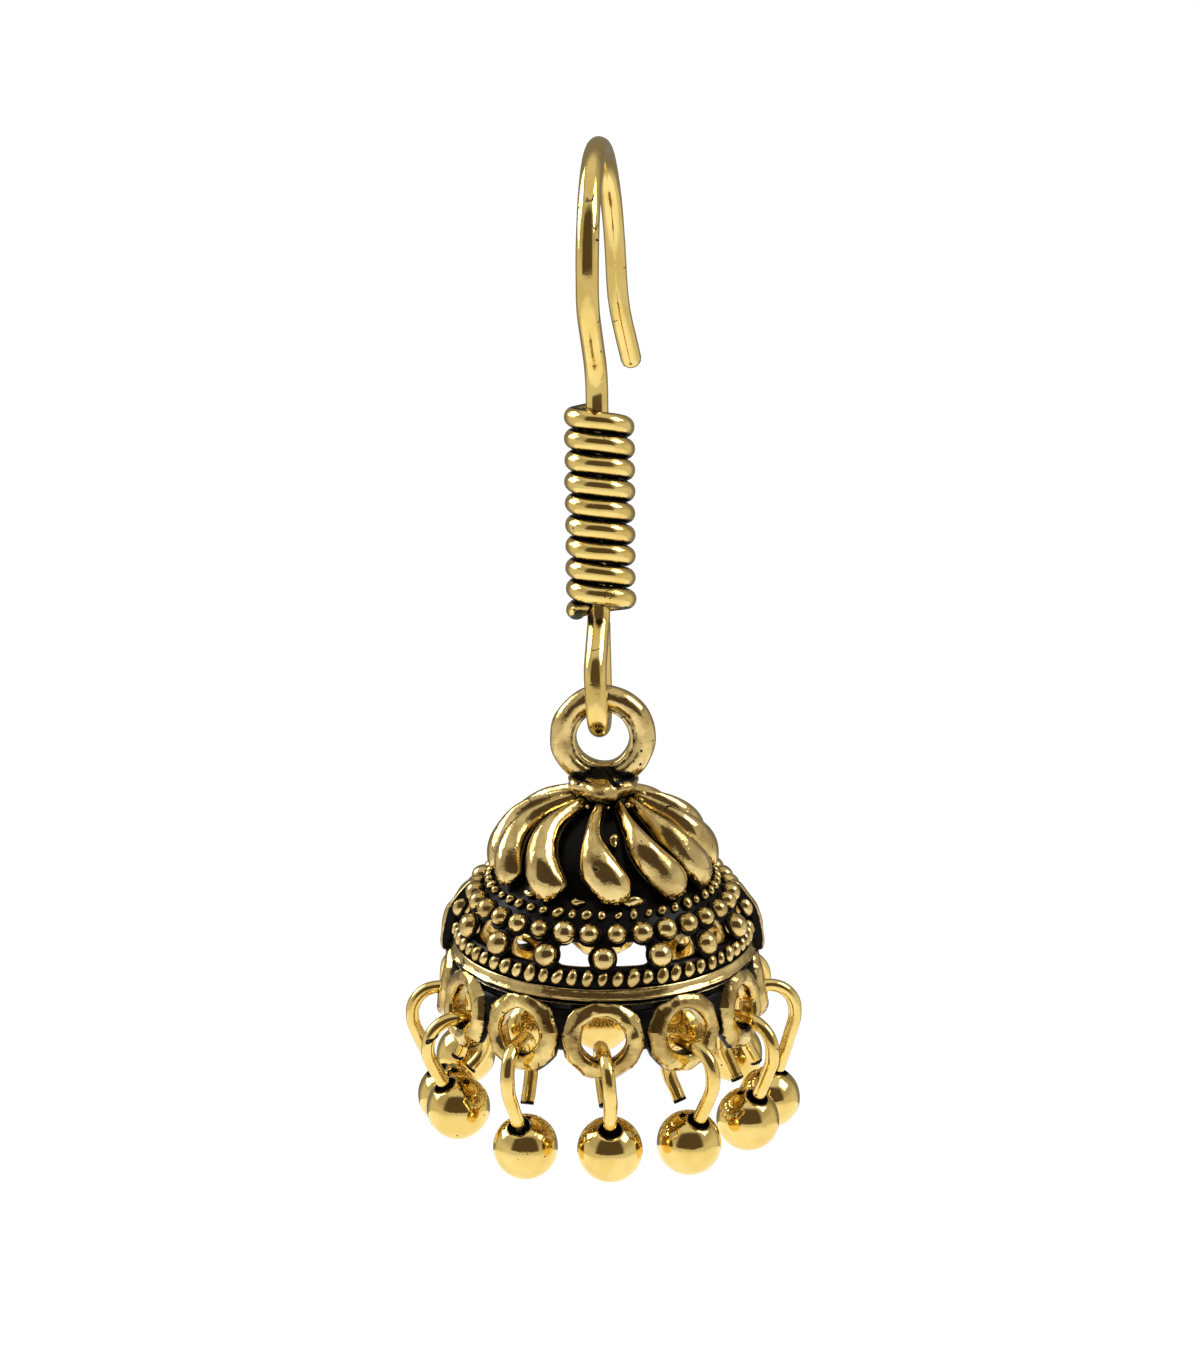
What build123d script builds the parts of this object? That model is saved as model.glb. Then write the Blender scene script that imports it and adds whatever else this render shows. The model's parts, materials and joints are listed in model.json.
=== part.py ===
"""Jhumka earring: an ear hook and its coil, carrying a cast bell with a fringe of ball drops.

Millimetres, +Z up. The origin is the underside of the hook's arch, the spot that sits in the ear.
The front of the earring is -Y. Heights on the bell are measured from its rim level, and angles
round it are azimuths, counted from the front towards +X.
"""
from build123d import *
import os
from math import asin, cos, degrees, radians, sin, sqrt, tan

os.makedirs("parts", exist_ok=True)

# ear hook: one round wire, drawn in its own plane as (reach, rise) from the middle of its eye's foot
WIRE = 1.05                 # hook wire diameter
LEAN = 9.0                  # degrees, how far the coil's line leans back
ARCH_RADIUS = 5.6           # centre line of the arch
ARCH_BEND = 5.58            # bend at each of the arch's two corners, a shade under its radius
ARCH_FRONT = 0.1            # reach of the arch's front leg
ARCH_TOP = 25.85            # rise of the arch's centre line
EYE_HALF = 1.45             # half the width of the eye, at the wire's centre line
EYE_BEND = 1.43             # bend at the eye's foot, a shade under its half width
HOOK_TURN = 8.0             # degrees, the hook's plane turned about the vertical
TIP_FLAT = 0.08             # radius of the flat left on the rounded tip

# coil of finer wire round the hook's straight stretch
COIL_WIRE = 0.95
COIL_PITCH = 0.98
COIL_TURNS = 9.3
COIL_RADIUS = 1.15          # centre line
COIL_FOOT = 5.27            # along the leaning line, from the foot of the eye to the coil's lower end
COIL_TAIL = -50.0           # azimuth of the lower end

# bell
RING_RADIUS = 1.8           # top ring, centre line
RING_BAR = 0.6              # radius of the ring's bar
RING_HEIGHT = 11.1          # ring centre above the rim level
RING_GAP = 0.12             # play between the eye's foot and the ring
PETALS = 12
WINDOWS = 16
WINDOW_SIZE = (4.0, 1.5, 0.8)
WINDOW_AT = (6.45, 2.8)     # radius and height of a window's middle
WINDOW_SLOPE = 35.0
HOOPS = 12
HOOP_OUTER = 1.8
HOOP_HOLE = 1.03
HOOP_THICK = 0.95
HOOP_AT = (7.2, -0.85)      # radius and height of a hoop's middle
HOOP_LEAN = 10.0            # degrees, the hoops' feet stand out
HOOP_EDGE = 0.25

# drops: a bent wire through each hoop with a drilled ball on it
DROP_WIRE = 0.65
BALL = 3.0
DRILL_PLAY = 0.08
DROP_SEAT = 0.20            # play between the wire and the hoop it hangs in
LOOP_BACK = -1.15           # the loop's two sides, inwards and outwards from the hoop's foot
LOOP_FRONT = 1.7
LOOP_SHOULDER = -1.4        # where the long leg turns in to its ball
LOOP_KNEE = -1.5            # where the short leg turns in
SHORT_LEG = (-0.35, 1.85)   # the short leg's cut end: aside, and above the ball's middle
BALL_OUT = 0.15             # the ball's middle, outside the hoop it hangs in
WIRE_END = 0.6              # the wire stops this far short of the ball's middle

# where the hook puts the bell
seat_reach = ARCH_FRONT + ARCH_RADIUS
seat_rise = ARCH_TOP - WIRE / 2
hook_tilt = asin(seat_reach * tan(radians(HOOK_TURN)) / seat_rise)
along = Vector(sin(radians(HOOK_TURN)), cos(radians(HOOK_TURN)), 0)
upright = Vector(-sin(hook_tilt) * along.Y, sin(hook_tilt) * along.X, cos(hook_tilt))
foot = -(along * seat_reach + upright * seat_rise)
hook_plane = Plane(origin=foot, x_dir=along, z_dir=along.cross(upright))
coil_line = (sin(radians(LEAN)), cos(radians(LEAN)))

ring_top = RING_HEIGHT + RING_RADIUS - RING_BAR
rim_z = foot.Z - (ring_top - WIRE / 2 - RING_GAP)
bell_frame = Plane(origin=(0, foot.Y, rim_z))
bell_profile = Plane(origin=bell_frame.origin, x_dir=(1, 0, 0), z_dir=(0, -1, 0))
bell_axis = Axis(bell_frame.origin, (0, 0, 1))


def leaning(side, rise):
    """Point in the hook's plane, beside and along the line that leans back from the eye's bend."""
    above = rise - EYE_BEND
    return (side * coil_line[1] + above * coil_line[0],
            EYE_BEND - side * coil_line[0] + above * coil_line[1])


def around(radius, height, azimuth):
    """Point on the bell, from its radius, height and azimuth in degrees."""
    a = radians(azimuth)
    return bell_frame.from_local_coords(Vector(radius * sin(a), -radius * cos(a), height))


# ---- ear hook -------------------------------------------------------------------------------------
# The wire starts at its cut end behind the coil, makes the eye, runs up through the coil, and arches
# over to the rear leg. Each row is a corner of its centre line, how far hand bending left it out of
# the hook's plane, and the bend there.
arch_back = ARCH_FRONT + 2 * ARCH_RADIUS
hook_route = [
    # point, aside, bend radius
    (leaning(EYE_HALF, 4.7), -0.30, None),
    (leaning(EYE_HALF, 0.0), -0.22, EYE_BEND),
    (leaning(-EYE_HALF, 0.0), 0.0, EYE_BEND),
    (leaning(-EYE_HALF, 2.7), -0.10, 1.6),
    (leaning(0.0, 4.95), -0.10, 1.4),
    (leaning(0.0, 16.1), -0.10, 2.4),
    ((ARCH_FRONT, 19.0), -0.10, 2.6),
    ((ARCH_FRONT, ARCH_TOP), 0.05, ARCH_BEND),
    ((arch_back, ARCH_TOP), -0.42, ARCH_BEND),
    ((arch_back, 18.2), -0.26, 6.0),
    ((arch_back + 1.2, 15.0), 0.24, None),
]
hook_corners = [hook_plane.from_local_coords(Vector(*point, aside)) for point, aside, bend in hook_route]
with BuildPart() as ear_hook:
    with BuildLine() as hook_line:
        FilletPolyline(*hook_corners, radius=[bend for point, aside, bend in hook_route if bend])
    with BuildSketch(Plane(origin=hook_line.line @ 0, z_dir=hook_line.line % 0)):
        Circle(WIRE / 2)
    sweep(path=hook_line.line)
    wire_tip = hook_line.line @ 1
    tip_edges = ear_hook.edges().filter_by(GeomType.CIRCLE).sort_by_distance(wire_tip)[0:1]
    fillet(tip_edges, WIRE / 2 - TIP_FLAT)

# ---- coil -----------------------------------------------------------------------------------------
coil_start = hook_plane.from_local_coords(Vector(*leaning(0, COIL_FOOT), 0))
coil_up = hook_plane.from_local_coords(Vector(*leaning(0, COIL_FOOT + 1), 0)) - coil_start
tail_side = Vector(sin(radians(COIL_TAIL)), -cos(radians(COIL_TAIL)), 0)
with BuildPart() as upright_coil:
    with BuildLine() as coil_route:
        Helix(pitch=COIL_PITCH, height=COIL_PITCH * COIL_TURNS, radius=COIL_RADIUS, lefthand=True)
    with BuildSketch(Plane(origin=coil_route.line @ 0, z_dir=coil_route.line % 0)):
        Circle(COIL_WIRE / 2)
    sweep(path=coil_route.line, is_frenet=True)
with BuildPart() as coil_wrap:
    add(Plane(origin=coil_start, x_dir=tail_side, z_dir=coil_up).from_local_coords(upright_coil.part))

# ---- bell -----------------------------------------------------------------------------------------
# A petal runs from the knob over the shoulder. Each row is a cross-section: the crest's radius and
# height, how far it lags behind the bulb, its half width, its half depth and the way it faces.
petal_stations = [
    # radius, height, lag, half width, half depth, facing (degrees above level)
    (1.7, 8.15, -12.0, 0.12, 0.20, 85),
    (2.7, 8.0, -11.5, 0.22, 0.35, 78),
    (3.7, 7.65, -11.0, 0.42, 0.50, 68),
    (4.6, 7.15, -8.0, 0.74, 0.60, 52),
    (5.25, 6.5, -3.5, 0.94, 0.62, 28),
    (5.5, 5.8, -0.5, 0.93, 0.60, 4),
    (5.45, 5.1, 1.0, 0.70, 0.50, -12),
    (5.3, 4.65, 1.6, 0.25, 0.28, -25),
]


def petal_section(row):
    """Plane across a petal at one of its stations, with its depth pointing inwards."""
    radius, height, lag, half_width, half_depth, facing = row
    tilt = radians(facing)
    middle_radius = radius - half_depth * cos(tilt)
    middle_height = height - half_depth * sin(tilt)
    a = radians(lag)
    across = Vector(cos(a), sin(a), 0)
    outward = Vector(sin(a) * cos(tilt), -cos(a) * cos(tilt), sin(tilt))
    return Plane(origin=around(middle_radius, middle_height, lag), x_dir=across,
                 z_dir=across.cross(outward))


with BuildPart() as petal:
    for row in petal_stations:
        with BuildSketch(petal_section(row)):
            Ellipse(row[3], row[4])
    loft()

# One hoop stands on its edge at the front, its foot leaning out.
hoop_middle = around(*HOOP_AT, 0)
hoop_facing = Vector(0, -cos(radians(HOOP_LEAN)), sin(radians(HOOP_LEAN)))
hoop_plane = Plane(origin=hoop_middle, x_dir=(1, 0, 0), z_dir=hoop_facing)
with BuildPart() as hoop:
    with BuildSketch(hoop_plane):
        Circle(HOOP_OUTER)
    extrude(amount=HOOP_THICK / 2, both=True)
    fillet(hoop.edges(), HOOP_EDGE)

with BuildPart() as hoop_bore:
    with BuildSketch(hoop_plane):
        Circle(HOOP_HOLE)
    extrude(amount=HOOP_THICK, both=True)

with BuildPart() as window:
    radius, height = WINDOW_AT
    slope = radians(WINDOW_SLOPE)
    with BuildSketch(Plane(origin=around(radius, height, 0), x_dir=(1, 0, 0),
                           z_dir=(0, -cos(slope), sin(slope)))):
        RectangleRounded(WINDOW_SIZE[1], WINDOW_SIZE[2], 0.3)
    extrude(amount=WINDOW_SIZE[0] / 2, both=True)


def turned(shape, azimuth):
    """Copy of a piece made at the front, carried round the bell."""
    return shape.rotate(bell_axis, azimuth)


with BuildPart() as bell:
    with BuildSketch(bell_profile):
        with BuildLine():
            Line((0, 9.4), (0.8, 9.4))
            Line((0.8, 9.4), (0.95, 9.1))
            ThreePointArc((0.95, 9.1), (1.55, 8.5), (1.3, 7.95))
            Spline((1.3, 7.95), (3.2, 7.35), (4.6, 6.45), (5.05, 5.5), (5.0, 4.55))
            Spline((5.0, 4.55), (5.75, 3.85), (6.5, 2.95), (6.85, 1.9), (6.9, 1.25))
            Polyline((6.9, 1.25), (7.25, 1.15), (7.25, 0.65), (7.0, 0.5), (6.35, 0.5))
            Spline((6.35, 0.5), (6.2, 1.7), (5.8, 2.6), (5.0, 3.45), (4.35, 4.4))
            Spline((4.35, 4.4), (4.35, 5.3), (3.9, 6.0), (2.8, 6.6), (0, 6.95))
            Line((0, 6.95), (0, 9.4))
        make_face()
        with BuildLine():
            Polyline((6.75, 0.8), (7.35, 0.8), (7.55, -1.3), (7.15, -1.3), close=True)
        make_face()
    revolve(axis=bell_axis)
    with Locations(around(0, RING_HEIGHT, 0)):
        Torus(RING_RADIUS, RING_BAR, rotation=(90, 0, 0))
    for number in range(HOOPS):
        add(turned(hoop.part, number * 360 / HOOPS))
    for number in range(HOOPS):
        add(turned(hoop_bore.part, number * 360 / HOOPS), mode=Mode.SUBTRACT)
    for number in range(WINDOWS):
        add(turned(window.part, (number + 0.5) * 360 / WINDOWS), mode=Mode.SUBTRACT)
    for number in range(PETALS):
        add(turned(petal.part, number * 360 / PETALS))

# ---- drops ----------------------------------------------------------------------------------------
# Each drop hangs a little differently: how far its ball swings out and aside, how its loop is
# twisted, and its length from the hoop to the ball's middle.
drop_hang = [
    # swing out, swing aside, twist, length
    (2.0, 4.0, 8.0, 4.35),
    (1.5, 0.6, 14.0, 4.55),
    (2.0, 1.8, -10.0, 4.75),
    (5.0, -1.0, 5.0, 5.40),
    (0.0, 2.0, -12.0, 4.80),
    (-2.0, -2.0, 10.0, 4.60),
    (2.0, 1.0, -6.0, 4.90),
    (-1.0, -2.0, 14.0, 4.50),
    (3.0, 1.0, -9.0, 4.90),
    (-1.5, 1.0, 6.0, 5.20),
    (2.0, -1.0, -8.0, 4.15),
    (-1.0, 3.0, 10.0, 4.75),
]
rim_lean = radians(HOOP_LEAN)
rim_reach = (HOOP_HOLE + HOOP_OUTER) / 2
drop_radius = HOOP_AT[0] + rim_reach * sin(rim_lean)
drop_height = HOOP_AT[1] - HOOP_HOLE * cos(rim_lean) + DROP_SEAT
drill = DROP_WIRE / 2 + DRILL_PLAY
drill_floor = WIRE_END - DRILL_PLAY
drill_mouth = sqrt((BALL / 2) ** 2 - drill ** 2)


def drop_plane(azimuth, swing_out, swing_aside, twist):
    """Plane of one drop's loop: x points away from the bell, y up the drop."""
    a = radians(azimuth)
    outward = Vector(sin(a), -cos(a), 0)
    aside = Vector(cos(a), sin(a), 0)
    hang = outward * tan(radians(swing_out)) + aside * tan(radians(swing_aside)) - Vector(0, 0, 1)
    hang = hang.normalized()
    facing = outward * cos(radians(twist)) + aside * sin(radians(twist))
    facing = facing - hang * facing.dot(hang)
    return Plane(origin=around(drop_radius, drop_height, azimuth), x_dir=facing,
                 z_dir=hang.cross(facing))


for number, (swing_out, swing_aside, twist, length) in enumerate(drop_hang, start=1):
    azimuth = (number - 1) * 360 / HOOPS
    loop_plane = drop_plane(azimuth, swing_out, swing_aside, twist)
    top = DROP_WIRE / 2
    shoulder = Vector(LOOP_FRONT, LOOP_SHOULDER)
    middle = Vector(BALL_OUT, -length)
    leg = (shoulder - middle).normalized()
    wire_end = middle + leg * WIRE_END
    loop_route = [
        # point, bend radius
        ((SHORT_LEG[0], SHORT_LEG[1] - length), None),
        ((LOOP_BACK, LOOP_KNEE), 1.4),
        ((LOOP_BACK, top), 0.9),
        ((LOOP_FRONT, top), 1.25),
        ((shoulder.X, shoulder.Y), 1.4),
        ((wire_end.X, wire_end.Y), None),
    ]
    with BuildPart() as drop_wire:
        with BuildLine(loop_plane) as loop_line:
            FilletPolyline(*[point for point, bend in loop_route],
                           radius=[bend for point, bend in loop_route if bend])
        with BuildSketch(Plane(origin=loop_line.line @ 0, z_dir=loop_line.line % 0)):
            Circle(DROP_WIRE / 2)
        sweep(path=loop_line.line)
    drop_wire.part.label = f"drop_wire_{number:02d}"
    export_step(drop_wire.part, f"parts/drop_wire_{number:02d}.step")

    ball_middle = loop_plane.from_local_coords(Vector(middle.X, middle.Y, 0))
    leg_up = loop_plane.from_local_coords(Vector(middle.X + leg.X, middle.Y + leg.Y, 0)) - ball_middle
    ball_plane = Plane(origin=ball_middle, x_dir=loop_plane.z_dir,
                       z_dir=loop_plane.z_dir.cross(leg_up))
    with BuildPart() as drop_ball:
        with BuildSketch(ball_plane):
            with BuildLine():
                ThreePointArc((0, -BALL / 2), (BALL / 2, 0), (drill, drill_mouth))
                Polyline((drill, drill_mouth), (drill, drill_floor), (0, drill_floor), (0, -BALL / 2))
            make_face()
        revolve(axis=Axis(ball_middle, leg_up))
    drop_ball.part.label = f"drop_ball_{number:02d}"
    export_step(drop_ball.part, f"parts/drop_ball_{number:02d}.step")

ear_hook.part.label = "ear_hook"
export_step(ear_hook.part, "parts/ear_hook.step")
coil_wrap.part.label = "coil_wrap"
export_step(coil_wrap.part, "parts/coil_wrap.step")
bell.part.label = "bell"
export_step(bell.part, "parts/bell.step")
print("eye's foot", foot, "rim level", round(rim_z, 3), "hook tilt", round(degrees(hook_tilt), 2))
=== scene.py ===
# %% [markdown]
# # A jhumka earring in polished brass
#
# A jhumka is a bell-shaped earring. A French hook carries it, finer wire is coiled round the hook's
# shank, and the bell hangs from the hook's closed eye by its top ring. The bell is one casting: its
# surface is dipped in black patina and then polished, so that every raised part is bright and
# every hollow stays black. Twelve small balls hang from its rim on bent wires.
#
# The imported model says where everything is. This script puts the jeweller's surface round it.

# %% Open the frame
import json
from math import atan2, ceil, cos, hypot, pi, radians, sin, tan

import bmesh
import bpy
from mathutils import Matrix, Vector, noise


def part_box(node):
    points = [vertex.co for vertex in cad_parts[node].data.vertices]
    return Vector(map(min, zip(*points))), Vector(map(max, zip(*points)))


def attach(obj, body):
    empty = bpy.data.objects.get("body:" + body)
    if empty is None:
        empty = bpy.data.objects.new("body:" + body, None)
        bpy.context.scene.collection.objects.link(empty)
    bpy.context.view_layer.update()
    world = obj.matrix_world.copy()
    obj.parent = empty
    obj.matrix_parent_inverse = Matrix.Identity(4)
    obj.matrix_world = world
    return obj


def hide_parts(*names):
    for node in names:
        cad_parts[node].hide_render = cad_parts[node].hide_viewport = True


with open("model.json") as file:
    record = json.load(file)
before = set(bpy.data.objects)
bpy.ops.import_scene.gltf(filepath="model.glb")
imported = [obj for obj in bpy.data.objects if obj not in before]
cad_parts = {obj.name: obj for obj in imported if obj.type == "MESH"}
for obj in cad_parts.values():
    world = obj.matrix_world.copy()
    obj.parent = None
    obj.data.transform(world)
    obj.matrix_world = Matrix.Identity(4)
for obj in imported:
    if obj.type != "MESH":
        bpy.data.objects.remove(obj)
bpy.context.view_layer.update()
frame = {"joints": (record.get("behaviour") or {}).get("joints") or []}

# %% [markdown]
# A jeweller thinks in millimetres and Blender in metres, so each piece is modelled in millimetres
# round a handy point and brought to size and place once, at the end. Two points carry everything:
# the foot of the hook's eye, which is the hinge, and the middle of the bell at its rim level.

# %% The two points that everything hangs on
MM = 0.001
BELL_HEIGHT = 13.5          # from the rim level to the top of the top ring
eye_foot = Vector(frame["joints"][0]["pos_m"]) / MM
bell_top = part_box("bell")[1].z / MM
bell_base = Vector((0, eye_foot.y, bell_top - BELL_HEIGHT))
print("eye's foot", eye_foot[:], "bell's base", bell_base[:])

# %% [markdown]
# ## Camera, floor and light
#
# Polished metal has hardly any colour of its own: it shows its surroundings. Here they are a pale
# table, pale walls, and a dark corner of the room where the viewer stands. That dark corner gives
# each ball, bead and wire its brown patch with a crisp edge, so it matters as much as any lamp. The
# ceiling is bright, and the wall behind is unlit, which draws a brown line round every shape. All this
# is part of the world, by direction, and the camera itself sees plain white there.

# %% Camera
CAMERA_BACK = 101.99        # in front of the bell's axis
CAMERA_UP = 41.21           # above the rim level
CAMERA_SIDE = -0.13
CAMERA_PITCH = 15.175       # degrees, looking down
camera = bpy.data.objects.new("camera", bpy.data.cameras.new("camera"))
bpy.context.scene.collection.objects.link(camera)
camera.location = (bell_base + Vector((CAMERA_SIDE, -CAMERA_BACK, CAMERA_UP))) * MM
camera.rotation_euler = (radians(90 - CAMERA_PITCH), 0, 0)
camera.data.lens = 60.23
camera.data.sensor_width = 36
camera.data.clip_start = 0.001
bpy.context.scene.camera = camera
bpy.context.scene.view_settings.view_transform = "Standard"
print("camera at", [round(value, 4) for value in camera.location])

# %% A short way to write shader nodes


def node(tree, kind, inputs=None, **settings):
    """Adds one shader node. Inputs are plain values, or the output sockets that feed them."""
    made = tree.nodes.new(kind)
    for name, value in settings.items():
        setattr(made, name, value)
    for name, value in (inputs or {}).items():
        if isinstance(value, bpy.types.NodeSocket):
            tree.links.new(value, made.inputs[name])
        else:
            made.inputs[name].default_value = value
    return made


def maths(tree, operation, first, second=0.0, clamp=False):
    """One sum on two numbers or sockets."""
    return node(tree, "ShaderNodeMath", {0: first, 1: second}, operation=operation,
                use_clamp=clamp).outputs[0]


def ease(tree, value, low, high):
    """A soft step: 0 below low, 1 above high."""
    return node(tree, "ShaderNodeMapRange", {"Value": value, "From Min": low, "From Max": high},
                interpolation_type="SMOOTHSTEP").outputs["Result"]


def blend_colour(tree, share, first, second):
    """Mixes two colours, or two colour sockets."""
    return node(tree, "ShaderNodeMix", {"Factor": share, 6: first, 7: second},
                data_type="RGBA").outputs[2]


# %% World: pale walls with a dark corner in front
DARK_SIDE = 1.26            # the dark corner's half width over its distance
DARK_LOW = 0.06             # where it starts and ends above the table, over its distance
DARK_HIGH = 1.9
SIDE_SOFT = 0.3             # how far each of its edges fades
LOW_SOFT = 0.03
HIGH_SOFT = 0.5
BACK_WALL = (0.35, 0.75)    # the unlit wall fades in between these, along +Y
SKIRTING_TOP = 0.40         # walls are brightest below this, along +Z
CEILING = (0.72, 0.90)      # and again where the ceiling fades in
world = bpy.data.worlds.new("studio")
bpy.context.scene.world = world
world.use_nodes = True
room = world.node_tree
direction = node(room, "ShaderNodeTexCoord").outputs["Generated"]
side = node(room, "ShaderNodeSeparateXYZ", {0: direction}).outputs
forward = maths(room, "MAXIMUM", maths(room, "MULTIPLY", side["Y"], -1.0), 0.001)
across = maths(room, "DIVIDE", maths(room, "ABSOLUTE", side["X"]), forward)
height = maths(room, "DIVIDE", side["Z"], forward)
within = maths(room, "SUBTRACT", 1.0, ease(room, across, DARK_SIDE - SIDE_SOFT, DARK_SIDE + SIDE_SOFT))
above = ease(room, height, DARK_LOW - LOW_SOFT, DARK_LOW + LOW_SOFT)
below = maths(room, "SUBTRACT", 1.0, ease(room, height, DARK_HIGH - HIGH_SOFT, DARK_HIGH + HIGH_SOFT))
dark = maths(room, "MULTIPLY", maths(room, "MULTIPLY", within, above), below)
seen = node(room, "ShaderNodeLightPath").outputs["Is Camera Ray"]
unseen = maths(room, "SUBTRACT", 1.0, seen)
dark = maths(room, "MULTIPLY", dark, unseen)
unlit = ease(room, side["Y"], *BACK_WALL)
unlit = maths(room, "MULTIPLY", unlit, unseen)
skirting = maths(room, "SUBTRACT", 1.0, ease(room, side["Z"], 0.0, SKIRTING_TOP))
lit = maths(room, "MAXIMUM", skirting, ease(room, side["Z"], *CEILING))
walls = blend_colour(room, lit, (0.44, 0.41, 0.365, 1), (0.66, 0.63, 0.575, 1))
walls = blend_colour(room, seen, walls, (1.0, 1.0, 1.0, 1))
walls = blend_colour(room, unlit, walls, (0.22, 0.20, 0.175, 1))
walls = blend_colour(room, dark, walls, (0.088, 0.064, 0.045, 1))
background = room.nodes["Background"]
room.links.new(walls, background.inputs["Color"])
background.inputs["Strength"].default_value = 1.05
print("world ready")

# %% Floor with a painted glow, and two soft lamps
FLOOR_DROP = 34.0           # the table, below the rim level
TABLE_RADIUS = 170.0
TABLE_FORWARD = 125.0       # how far the lit sheet of paper is pulled towards the viewer
GLOW = 0.32                 # painted light: the paper glows though it is no lamp; and how much of that glow fades aside, a painted shade to the sides
GLOW_FADE = 0.24
FADE_FROM = 0.045           # metres to the side
FADE_TO = 0.150
floor_mesh = bpy.data.meshes.new("floor")
board = bmesh.new()
bmesh.ops.create_circle(board, cap_ends=True, segments=96, radius=TABLE_RADIUS * MM)
table_middle = bell_base - Vector((0, TABLE_FORWARD, FLOOR_DROP))
bmesh.ops.translate(board, vec=table_middle * MM, verts=board.verts)
board.to_mesh(floor_mesh)
board.free()
floor = bpy.data.objects.new("floor", floor_mesh)
bpy.context.scene.collection.objects.link(floor)
paper = bpy.data.materials.new("white_paper")
paper.use_nodes = True
paper_shader = paper.node_tree.nodes["Principled BSDF"]
paper_shader.inputs["Base Color"].default_value = (0.93, 0.93, 0.92, 1)
paper_shader.inputs["Roughness"].default_value = 0.9
paper_shader.inputs["Emission Color"].default_value = (1, 1, 1, 1)
spread = node(paper.node_tree, "ShaderNodeSeparateXYZ",
              {0: node(paper.node_tree, "ShaderNodeTexCoord").outputs["Object"]}).outputs
# painted light: the paper's emission lights the earring, and it is painted darker to the sides; the camera
# sees it plain white
aside = ease(paper.node_tree, maths(paper.node_tree, "ABSOLUTE", spread["X"]), FADE_FROM, FADE_TO)
glow = maths(paper.node_tree, "SUBTRACT", GLOW, maths(paper.node_tree, "MULTIPLY", aside, GLOW_FADE))
looked_at = node(paper.node_tree, "ShaderNodeLightPath").outputs["Is Camera Ray"]
glow = maths(paper.node_tree, "MAXIMUM", glow, looked_at)
paper.node_tree.links.new(glow, paper_shader.inputs["Emission Strength"])
floor.data.materials.append(paper)


def softbox(name, azimuth, elevation, distance, size, power):
    """A square lamp that faces the bell. Azimuth 0 is in front of it, and grows towards +X."""
    light = bpy.data.lights.new(name, "AREA")
    light.size = size * MM
    light.energy = power
    lamp = bpy.data.objects.new(name, light)
    a, e = radians(azimuth), radians(elevation)
    away = Vector((sin(a) * cos(e), -cos(a) * cos(e), sin(e)))
    lamp.location = (bell_base + Vector((0, 0, 15)) + away * distance) * MM
    lamp.rotation_euler = away.to_track_quat("Z", "Y").to_euler()
    lamp.visible_camera = False
    bpy.context.scene.collection.objects.link(lamp)


softbox("lamp_left", -112, 30, 320, 190, 0.50)
softbox("lamp_right", 84, 42, 320, 160, 0.32)
print("floor", round((bell_base.z - FLOOR_DROP) * MM, 4), "and two lamps")

# %% [markdown]
# ## Brass and patina
#
# One metal does the whole earring, so one function makes its finish. Three things keep polished brass
# from looking like plastic: its tone drifts a little, its roughness drifts more, and it has casting
# pits that still hold black. Patina is a mask. It comes from a vertex attribute where the modeller
# knows that polish never reached, and from ambient occlusion where metal meets metal. A noise
# breaks the edge of the mask, because a polishing wheel never stops on a straight line.

# %% The finish
WIRE_GOLD = ((0.94, 0.725, 0.262, 1), (0.87, 0.635, 0.19, 1))
CAST_GOLD = ((0.86, 0.67, 0.29, 1), (0.54, 0.385, 0.145, 1))
FILED_GOLD = ((0.88, 0.68, 0.265, 1), (0.46, 0.315, 0.105, 1))
BLACK = (0.004, 0.0035, 0.0035, 1)


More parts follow.
